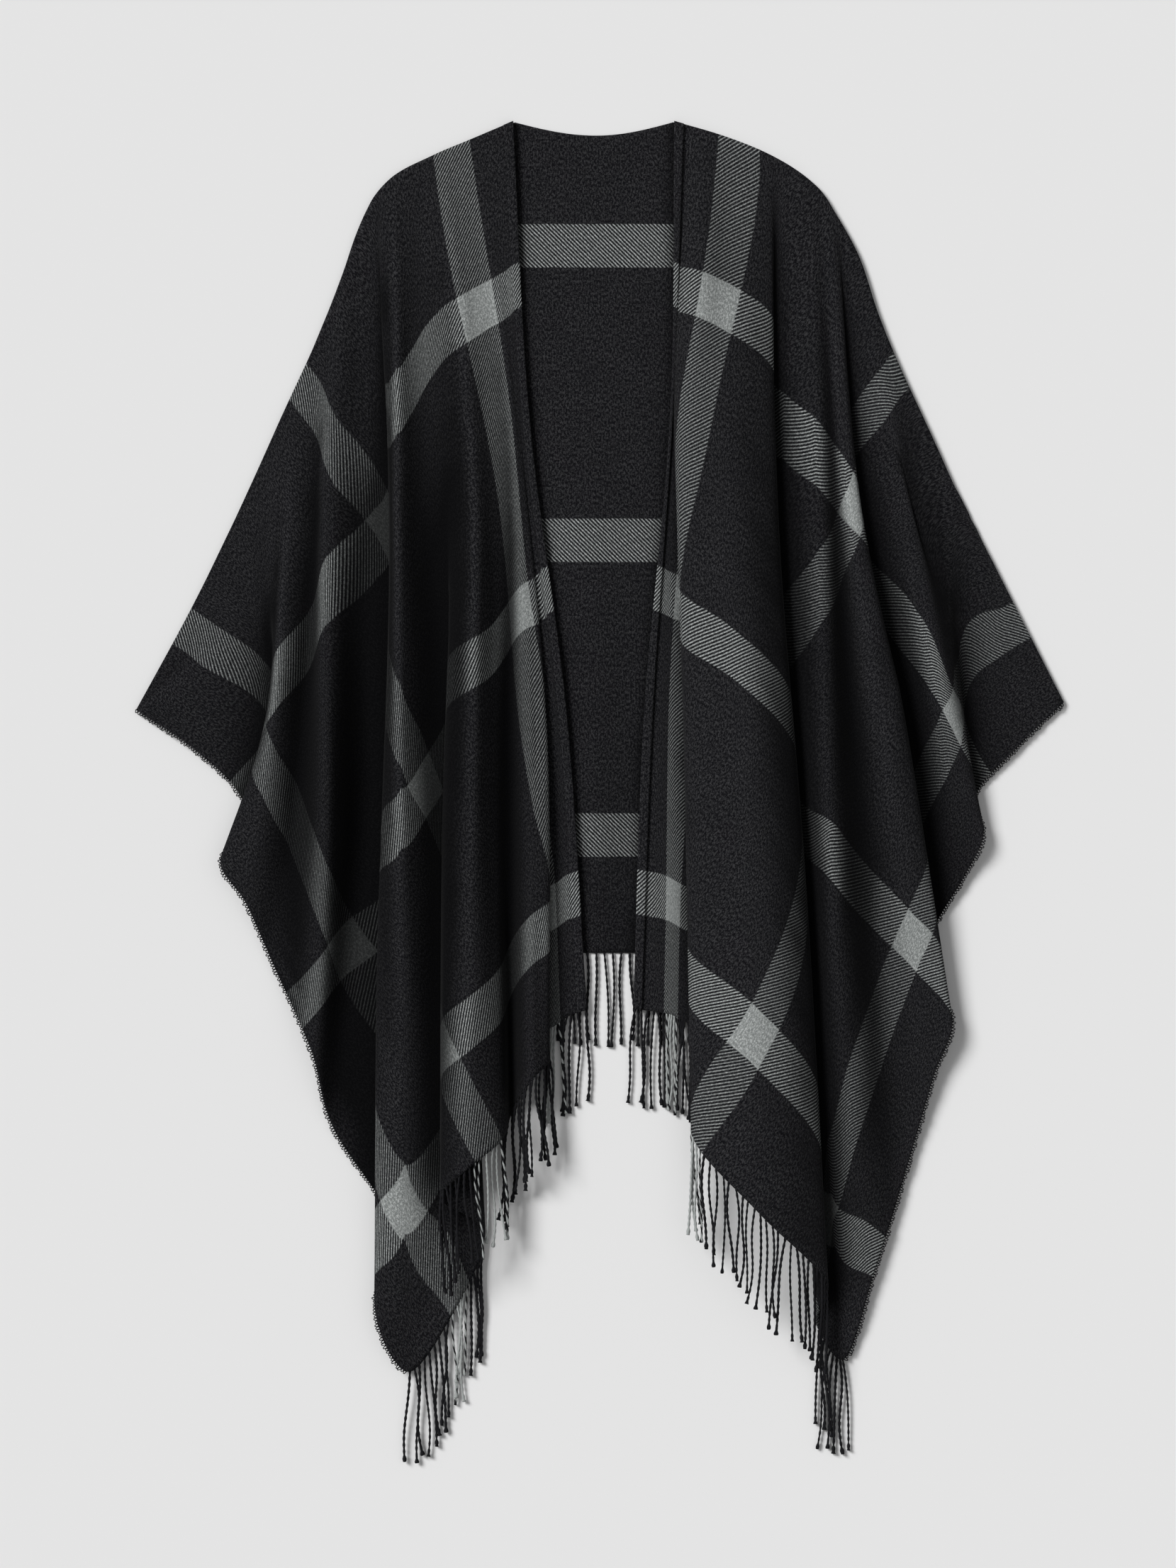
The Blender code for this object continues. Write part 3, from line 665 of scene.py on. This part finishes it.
def creased(laid, seed):
    """The fold loft with the small creases that run along the folds."""
    columns, rows = laid.shape[:2]
    q = np.repeat(np.arange(columns)[:, None] / FINE_STEPS, rows, 1)
    s = np.repeat(np.linspace(0, 1, rows)[None, :], columns, 0)
    room = np.clip((laid[..., 2] - LOWEST_FRONT - 0.05) / 1.4, 0, 1)
    rise = value_noise(q * 1.7 + 5, s * 3.2 + q * 0.15, seed)
    rise = rise + 0.6 * value_noise(laid[..., 0] / 1.3 + 60, laid[..., 1] / 7.0 + 90, seed + 1)
    out = laid.copy()
    out[..., 2] += rise * CREASE_HEIGHT * room
    out[..., 2] = np.maximum(out[..., 2], LOWEST_FRONT)
    return out


def make_front(side, fronts, height_map, material):
    flat, world = fronts[side]
    cloth = cloth_coordinates(side, flat)
    # Third value: painted shade of the folds' valleys, from the height map
    cloth[..., 2] = height_map.depth(world)
    piece = sheet_piece("cloth_front_" + side, flat, world, cloth, CLOTH_THICK * CLOTH_SHELL, material)
    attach(piece, "root")
    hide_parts("front_" + side)
    return piece


def make_hem(side, material):
    """Turned hem, rounded across, on the front's own points moved out."""
    flat, laid = front_grid(side, FINE_ROWS, FINE_STEPS)
    columns = FINE_STEPS + 1
    laid = laid[:columns]
    across = np.gradient(laid, axis=0)
    along = np.gradient(laid, axis=1)
    normal = np.cross(along, across)
    normal = normal / np.linalg.norm(normal, axis=2)[..., None]
    spread = np.linspace(-1, 1, columns)
    crown = (1 - spread**4)[:, None, None] * 0.03
    hem = laid + normal * (CLOTH_THICK / 2 + HEM_GAP + HEM_THICK / 2 - 0.01 + crown)
    cloth = cloth_coordinates(side, flat[:columns])
    world = to_world(side, hem)
    piece = sheet_piece("cloth_hem_" + side, flat[:columns], world, cloth, HEM_THICK * HEM_SHELL, material)
    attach(piece, "root")
    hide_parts("hem_" + side)
    return piece


def back_edges(out, side):
    shoulder_out = table(SHOULDER[side], SHOULDER_COLUMNS, "out")
    shoulder_down = table(SHOULDER[side], SHOULDER_COLUMNS, "down")
    edge = np.interp(out, shoulder_out, shoulder_down)
    neck = NECK_SCOOP * np.cos(np.clip(out / shoulder_out[0], 0, 1) * math.pi / 2)
    top = np.where(out < shoulder_out[0], neck, edge) + SEAM_GAP
    cuff = shoulder_out[-1] - BACK_SIDE_INSET
    share = np.clip((out - BACK_HEM_HALF[side]) / (cuff - BACK_HEM_HALF[side]), 0, 1)
    bottom = BACK_HEM_DOWN + (shoulder_down[-1] - BACK_HEM_DOWN) * share
    return top, np.maximum(bottom, top + 0.2)


def make_back(height_map, material):
    world_halves = []
    cloth_halves = []
    for side in ("left", "right"):
        cuff = table(SHOULDER[side], SHOULDER_COLUMNS, "out")[-1] - BACK_SIDE_INSET
        out = np.linspace(0.0, cuff, BACK_FINE_COLUMNS // 2)
        top, bottom = back_edges(out, side)
        share = np.linspace(0.0, 1.0, BACK_FINE_ROWS)
        down = top[:, None] * (1 - share) + bottom[:, None] * share
        outs = np.repeat(out[:, None], BACK_FINE_ROWS, 1)
        half = np.dstack((outs, -down, np.full_like(down, CLOTH_THICK / 2)))
        cloth = np.zeros_like(half)
        cloth[..., 0] = half[..., 0] * SIDES[side]
        cloth[..., 1] = down * BACK_STRETCH + BACK_STRIPE_SHIFT
        world = to_world(side, half)
        world_halves.append(world[::-1] if side == "left" else world[1:])
        cloth_halves.append(cloth[::-1] if side == "left" else cloth[1:])
    world = np.concatenate(world_halves)
    cloth = np.concatenate(cloth_halves)
    # Third value: painted shade of the fronts' folds over the back, from the height map
    cloth[..., 2] = height_map.depth(world)
    piece = sheet_piece("cloth_back", world, world, cloth, CLOTH_THICK * CLOTH_SHELL, material)
    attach(piece, "root")
    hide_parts("back")
    return piece


def frayed_edge(side, fronts, seed, material):
    """Short loose loops of wool along a front's cut side edge."""
    rng = np.random.default_rng(seed)
    flat, world = fronts[side]
    on_edge = flat[:, -1, 0] > CLOTH_HALF - 0.05
    edge = world[on_edge, -1] / CM
    run = np.concatenate(((0.0,), np.cumsum(np.linalg.norm(np.diff(edge, axis=0), axis=1))))
    paths = []
    for at in np.arange(0.1, run[-1], LOOP_PITCH):
        here = np.array([np.interp(at, run, edge[:, axis]) for axis in range(3)])
        ahead = np.array([np.interp(at + 0.4, run, edge[:, axis]) for axis in range(3)]) - here
        ahead[2] = 0.0
        ahead = ahead / max(np.linalg.norm(ahead), 0.001)
        outwards = np.array((ahead[1], -ahead[0], 0.0))
        if outwards[0] * SIDES[side] < 0:
            outwards = -outwards
        reach = rng.uniform(*LOOP_REACH)
        lean = rng.uniform(-0.18, 0.18)
        width = LOOP_PITCH * 0.42
        turns = np.linspace(0, math.pi, LOOP_RINGS)
        path = (here - outwards * 0.06 + np.outer(np.cos(turns) * width, ahead)
                + np.outer(np.sin(turns) * reach, outwards + ahead * lean))
        path[:, 2] = np.maximum(path[:, 2] + rng.uniform(-0.03, 0.03), LOOP_RADIUS)
        paths.append(path)
    points = []
    faces = []
    start = 0
    for path in paths:
        p, f, _ = tube(path, LOOP_RADIUS, 4)
        points.append(p)
        faces.extend(tuple(i + start for i in face) for face in f)
        start += len(p)
    points = np.concatenate(points)
    values = np.zeros_like(points)
    values[:, 2] = rng.uniform(0, 50)
    piece = mesh_from("loops_" + side, points * CM, faces, values, material)
    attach(piece, "root")
    return piece


def tube(path, radius, sides):
    """Round tube along a path, closed at both ends."""
    rings = len(path)
    ahead = np.gradient(path, axis=0)
    ahead = ahead / np.linalg.norm(ahead, axis=1)[:, None]
    across = np.cross(ahead, (0.0, 0.0, 1.0))
    across = across / np.maximum(np.linalg.norm(across, axis=1), 0.001)[:, None]
    up = np.cross(across, ahead)
    angle = np.linspace(0, 2 * math.pi, sides, endpoint=False)
    points = (path[:, None, :] + across[:, None, :] * (radius * np.cos(angle))[:, None]
              + up[:, None, :] * (radius * np.sin(angle))[:, None])
    return points.reshape(-1, 3), tube_faces(rings, sides), angle


def tube_faces(rings, sides):
    faces = []
    for ring in range(rings - 1):
        a = ring * sides
        b = a + sides
        for k in range(sides):
            after = (k + 1) % sides
            faces.append((a + k, a + after, b + after, b + k))
    faces.append(tuple(range(sides))[::-1])
    faces.append(tuple(range((rings - 1) * sides, rings * sides)))
    return faces


def strand(path, pale, phase, radius):
    """Two-ply strand along a path: points, faces and colour values."""
    rings = len(path)
    ahead = np.gradient(path, axis=0)
    ahead = ahead / np.linalg.norm(ahead, axis=1)[:, None]
    across = np.cross(ahead, (0.0, 0.0, 1.0))
    across = across / np.linalg.norm(across, axis=1)[:, None]
    up = np.cross(across, ahead)
    length = np.concatenate(((0.0,), np.cumsum(np.linalg.norm(np.diff(path, axis=0), axis=1))))
    turn = phase + length / YARN_TWIST * math.pi
    left = length[-1] - length
    angle = np.linspace(0, 2 * math.pi, YARN_SIDES, endpoint=False)
    tuft = np.clip(1 - left / TUFT, 0, 1)
    size = radius * (1 - 0.18 * np.exp(-((left - TUFT) / 0.12) ** 2) + 0.75 * tuft)
    lobes = 0.70 + 0.42 * np.cos(angle[None, :] - turn[:, None]) ** 2
    reach = size[:, None] * lobes
    points = (path[:, None, :] + across[:, None, :] * (reach * np.cos(angle))[..., None]
              + up[:, None, :] * (reach * np.sin(angle))[..., None])
    ply = 0.5 + 0.5 * np.cos(angle[None, :] - turn[:, None])
    values = np.dstack((np.full((rings, YARN_SIDES), pale), ply,
                        np.repeat(length[:, None], YARN_SIDES, 1) + phase))
    return points.reshape(-1, 3), tube_faces(rings, YARN_SIDES), values.reshape(-1, 3)


def strands_piece(name, paths, pales, radii, material, seed):
    rng = np.random.default_rng(seed)
    points = []
    faces = []
    values = []
    start = 0
    for path, pale, radius in zip(paths, pales, radii):
        p, f, v = strand(path, pale, rng.uniform(0, 6.28), radius)
        points.append(p)
        values.append(v)
        faces.extend(tuple(i + start for i in face) for face in f)
        start += len(p)
    return mesh_from(name, np.concatenate(points) * CM, faces, np.concatenate(values), material)


def pale_share(u):
    """0 for dark yarn, 1 for pale, 0.5 for one ply of each at a stripe's edge."""
    away = abs((u % CHECK_PITCH) - CHECK_PITCH / 2)
    if away < STRIPE_HALF - 0.9:
        return 1.0
    if away < STRIPE_HALF + 0.1:
        return 0.5
    return 0.0


def strand_path(root, tip, sway):
    """From root to tip in a loose curve, centimetres in the part's frame."""
    t = np.linspace(0, 1, YARN_RINGS)[:, None]
    path = root * (1 - t) + tip * t
    path[:, 0] += (np.sin(t[:, 0] * math.pi) * sway[0] + np.sin(t[:, 0] * 2 * math.pi) * sway[1])
    sag = np.sin(t[:, 0] * math.pi) * 0.15
    path[:, 2] = np.maximum(path[:, 2] - sag * (root[2] - tip[2] > 1), YARN_RADIUS * 2.0)
    return path


def side_fringe(side, seed, material):
    rng = np.random.default_rng(seed)
    flat, laid = front_grid(side, FINE_ROWS, FINE_STEPS)
    at_hem = flat[:, -1, 1] > FRONT_LENGTH - 0.01
    hem_u = flat[at_hem, -1, 0]
    hem = to_world(side, laid[at_hem, -1]) / CM
    paths = []
    pales = []
    radii = []
    for start, end, tip_share in YARNS[side]:
        lean = rng.uniform(-0.3, 0.3)
        for u in np.arange(start, end, YARN_PITCH):
            at = u + rng.uniform(-0.12, 0.12)
            root = np.array([np.interp(at, hem_u, hem[:, axis]) for axis in range(3)])
            root[1] += 0.05
            lean = 0.4 * lean + rng.normal(0, 0.42)
            tip = root.copy()
            tip[0] += lean
            tip[1] -= 8.7 + rng.uniform(-0.5, 0.4)
            tip[2] = max(tip[2] * tip_share + 0.1, 0.2)
            sway = (rng.uniform(-0.25, 0.25), rng.uniform(-0.18, 0.18))
            paths.append(strand_path(root, tip, sway))
            pales.append(pale_share(at))
            radii.append(YARN_RADIUS * rng.uniform(0.85, 1.15))
    piece = strands_piece("yarn_" + side, paths, pales, radii, material, seed + 1)
    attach(piece, "root")
    names = [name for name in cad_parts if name.startswith("fringe_" + side)]
    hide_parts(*names)
    return piece


def back_fringe(seed, material):
    rng = np.random.default_rng(seed)
    paths = []
    pales = []
    radii = []
    lean = 0.0
    for out in np.arange(-BACK_HEM_HALF["left"] + 0.4, BACK_HEM_HALF["right"], YARN_PITCH):
        at = out + rng.uniform(-0.15, 0.15)
        root = np.array((at + CENTRE_SHIFT, NECK_TO_ORIGIN - BACK_HEM_DOWN + 0.05, 0.16))
        lean = 0.6 * lean + rng.uniform(-0.45, 0.45)
        tip = root + np.array((lean, -8.4 + rng.uniform(-0.3, 0.4), 0.02))
        sway = (rng.uniform(-0.2, 0.2), rng.uniform(-0.15, 0.15))
        paths.append(strand_path(root, tip, sway))
        pales.append(pale_share(abs(at)))
        radii.append(YARN_RADIUS * rng.uniform(0.85, 1.1))
    piece = strands_piece("yarn_back", paths, pales, radii, material, seed + 1)
    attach(piece, "root")
    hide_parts("fringe_back")
    return piece


place_camera()
place_lights()
place_floor()
twill = weave_material()
yarn = yarn_material()
fronts = {}
for side_name, seed_value in (("left", 11), ("right", 23)):
    flat_points, laid_points = front_grid(side_name, FINE_ROWS, FINE_STEPS)
    fronts[side_name] = (flat_points, to_world(side_name, creased(laid_points, seed_value)))
heights_seen = HeightMap([fronts[side_name][1] for side_name in fronts])
back = make_back(heights_seen, twill)
back_yarn = back_fringe(31, yarn)
for side_name, seed_value in (("left", 11), ("right", 23)):
    front = make_front(side_name, fronts, heights_seen, twill)
    loops = frayed_edge(side_name, fronts, seed_value + 5, yarn)
    turned = make_hem(side_name, twill)
    fringe = side_fringe(side_name, seed_value + 40, yarn)
